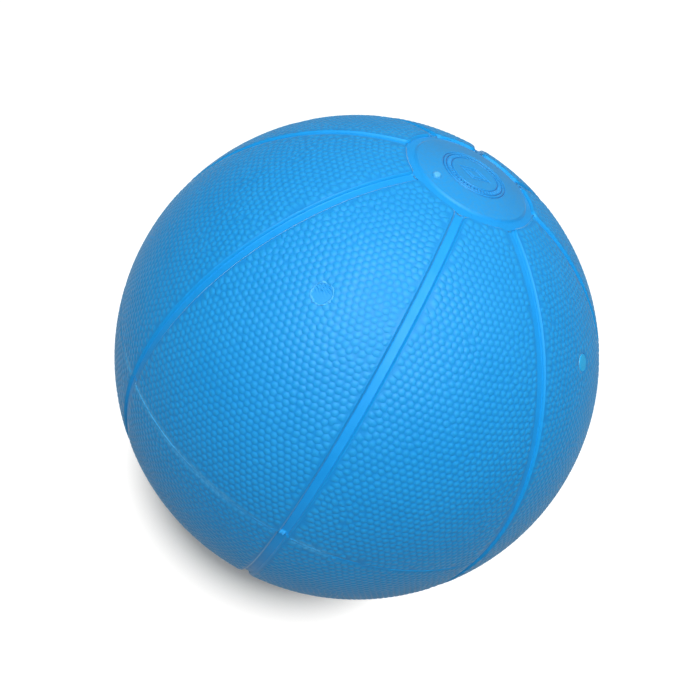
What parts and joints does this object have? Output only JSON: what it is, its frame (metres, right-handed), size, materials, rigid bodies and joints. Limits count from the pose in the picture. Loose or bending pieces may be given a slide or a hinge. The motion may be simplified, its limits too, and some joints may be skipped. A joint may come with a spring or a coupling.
{
  "type": "medicine ball",
  "caption": "Hollow rubber medicine ball with pebbled panels, smooth sunk channels running pole to pole, a smooth raised disc at each pole and plugged core-pin holes.",
  "frame": {"origin": "centre of the ball", "axes": "+Z runs through the two polar discs, up from the one it rests on; -Y faces a channel"},
  "size_m": [0.2396, 0.2396, 0.2374],
  "materials": {
    "cover": "satin moulded rubber with a fine pebble grip",
    "channel": "smooth moulded rubber, satin",
    "disc": "smooth moulded rubber, satin",
    "plug": "trimmed rubber with cement round its edge",
    "core": "plain moulded rubber, matte"
  },
  "bodies": {
    "root": {"cover_panel_1": "cover", "cover_panel_2": "cover", "cover_panel_3": "cover", "cover_panel_4": "cover", "cover_panel_5": "cover", "cover_panel_6": "cover", "cover_panel_7": "cover", "cover_panel_8": "cover", "channel_strip_1": "channel", "channel_strip_2": "channel", "channel_strip_3": "channel", "channel_strip_4": "channel", "channel_strip_5": "channel", "channel_strip_6": "channel", "channel_strip_7": "channel", "channel_strip_8": "channel", "polar_disc_top": "disc", "polar_disc_bottom": "disc", "core_shell_upper": "core", "core_shell_lower": "core", "hole_plug_1": "plug", "hole_plug_2": "plug", "hole_plug_3": "plug", "hole_plug_4": "plug", "hole_plug_5": "plug", "hole_plug_6": "plug", "hole_plug_7": "plug", "hole_plug_8": "plug"}
  },
  "joints": []
}
